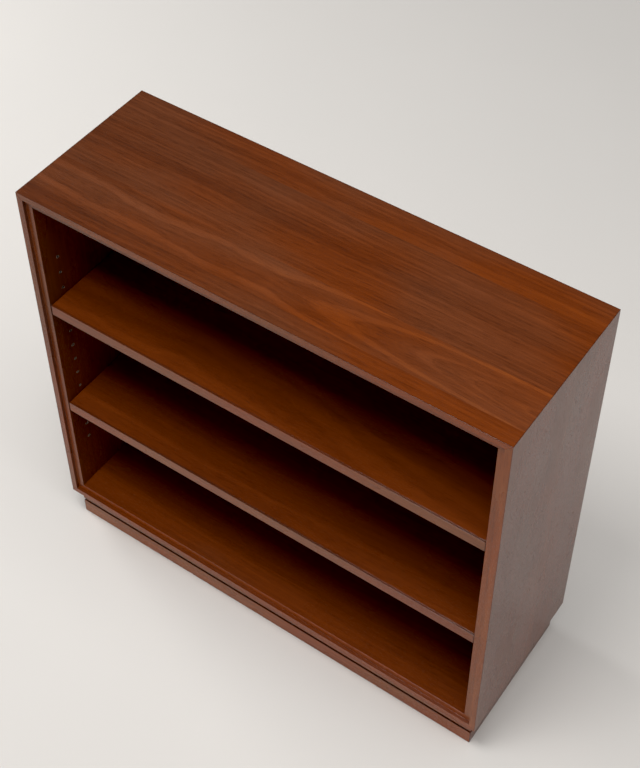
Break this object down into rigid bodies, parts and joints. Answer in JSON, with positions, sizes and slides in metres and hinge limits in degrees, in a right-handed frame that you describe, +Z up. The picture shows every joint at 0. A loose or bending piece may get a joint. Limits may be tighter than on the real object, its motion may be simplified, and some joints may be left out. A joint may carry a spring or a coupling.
{
  "type": "bookcase with adjustable shelves",
  "caption": "Low open-front walnut bookcase: a mitred case with a stepped front edge and adjustable shelves, on an inset plinth with a routed reveal.",
  "frame": {"origin": "on the floor, under the middle of the case", "axes": "+X to the right across the front, +Y from the open front to the back, +Z up"},
  "size_m": [0.914, 0.317, 0.851],
  "materials": {
    "case_walnut": "walnut veneer, satin lacquer",
    "shelf_walnut": "walnut veneer, satin lacquer",
    "edge_walnut": "solid walnut, satin lacquer",
    "plinth_walnut": "solid walnut, satin lacquer",
    "back_veneer": "walnut-faced plywood, satin lacquer",
    "hardwood": "planed hardwood, unfinished",
    "nickel": "satin nickel plate",
    "zinc": "zinc plate"
  },
  "bodies": {
    "case": {"case_top": "case_walnut", "case_bottom": "case_walnut", "side_left": "case_walnut", "side_right": "case_walnut", "spline_top_left": "hardwood", "spline_top_right": "hardwood", "spline_bottom_left": "hardwood", "spline_bottom_right": "hardwood", "back_panel": "back_veneer", "back_screw_top_1": "zinc", "back_screw_top_2": "zinc", "back_screw_top_3": "zinc", "back_screw_bottom_1": "zinc", "back_screw_bottom_2": "zinc", "back_screw_bottom_3": "zinc", "back_screw_left_1": "zinc", "back_screw_left_2": "zinc", "back_screw_right_1": "zinc", "back_screw_right_2": "zinc", "base_front": "plinth_walnut", "base_back": "plinth_walnut", "base_left": "plinth_walnut", "base_right": "plinth_walnut", "corner_block_front_left": "hardwood", "corner_block_front_right": "hardwood", "corner_block_back_left": "hardwood", "corner_block_back_right": "hardwood", "base_stretcher": "hardwood", "cleat_front": "hardwood", "cleat_back": "hardwood", "base_screw_front_1": "zinc", "base_screw_front_2": "zinc", "base_screw_front_3": "zinc", "base_screw_front_4": "zinc", "base_screw_back_1": "zinc", "base_screw_back_2": "zinc", "base_screw_back_3": "zinc", "base_screw_back_4": "zinc"},
    "lower_shelf": {"lower_shelf": "shelf_walnut", "lower_shelf_lipping": "edge_walnut"},
    "upper_shelf": {"upper_shelf": "shelf_walnut", "upper_shelf_lipping": "edge_walnut"},
    "lower_shelf_pin_front_left": {"lower_shelf_pin_front_left": "nickel"},
    "lower_shelf_pin_front_right": {"lower_shelf_pin_front_right": "nickel"},
    "lower_shelf_pin_back_left": {"lower_shelf_pin_back_left": "nickel"},
    "lower_shelf_pin_back_right": {"lower_shelf_pin_back_right": "nickel"},
    "upper_shelf_pin_front_left": {"upper_shelf_pin_front_left": "nickel"},
    "upper_shelf_pin_front_right": {"upper_shelf_pin_front_right": "nickel"},
    "upper_shelf_pin_back_left": {"upper_shelf_pin_back_left": "nickel"},
    "upper_shelf_pin_back_right": {"upper_shelf_pin_back_right": "nickel"}
  },
  "joints": [
    {"name": "lower_shelf_lift", "type": "slide", "parent": "case", "child": "lower_shelf", "axis": [0, 0, 1], "range_m": [0, 0.219]},
    {"name": "upper_shelf_lift", "type": "slide", "parent": "case", "child": "upper_shelf", "axis": [0, 0, 1], "range_m": [0, 0.1095]},
    {"name": "lower_front_left_pull", "type": "slide", "parent": "case", "child": "lower_shelf_pin_front_left", "axis": [1, 0, 0], "range_m": [0, 0.011]},
    {"name": "lower_front_right_pull", "type": "slide", "parent": "case", "child": "lower_shelf_pin_front_right", "axis": [-1, 0, 0], "range_m": [0, 0.011]},
    {"name": "lower_back_left_pull", "type": "slide", "parent": "case", "child": "lower_shelf_pin_back_left", "axis": [1, 0, 0], "range_m": [0, 0.011]},
    {"name": "lower_back_right_pull", "type": "slide", "parent": "case", "child": "lower_shelf_pin_back_right", "axis": [-1, 0, 0], "range_m": [0, 0.011]},
    {"name": "upper_front_left_pull", "type": "slide", "parent": "case", "child": "upper_shelf_pin_front_left", "axis": [1, 0, 0], "range_m": [0, 0.011]},
    {"name": "upper_front_right_pull", "type": "slide", "parent": "case", "child": "upper_shelf_pin_front_right", "axis": [-1, 0, 0], "range_m": [0, 0.011]},
    {"name": "upper_back_left_pull", "type": "slide", "parent": "case", "child": "upper_shelf_pin_back_left", "axis": [1, 0, 0], "range_m": [0, 0.011]},
    {"name": "upper_back_right_pull", "type": "slide", "parent": "case", "child": "upper_shelf_pin_back_right", "axis": [-1, 0, 0], "range_m": [0, 0.011]}
  ]
}
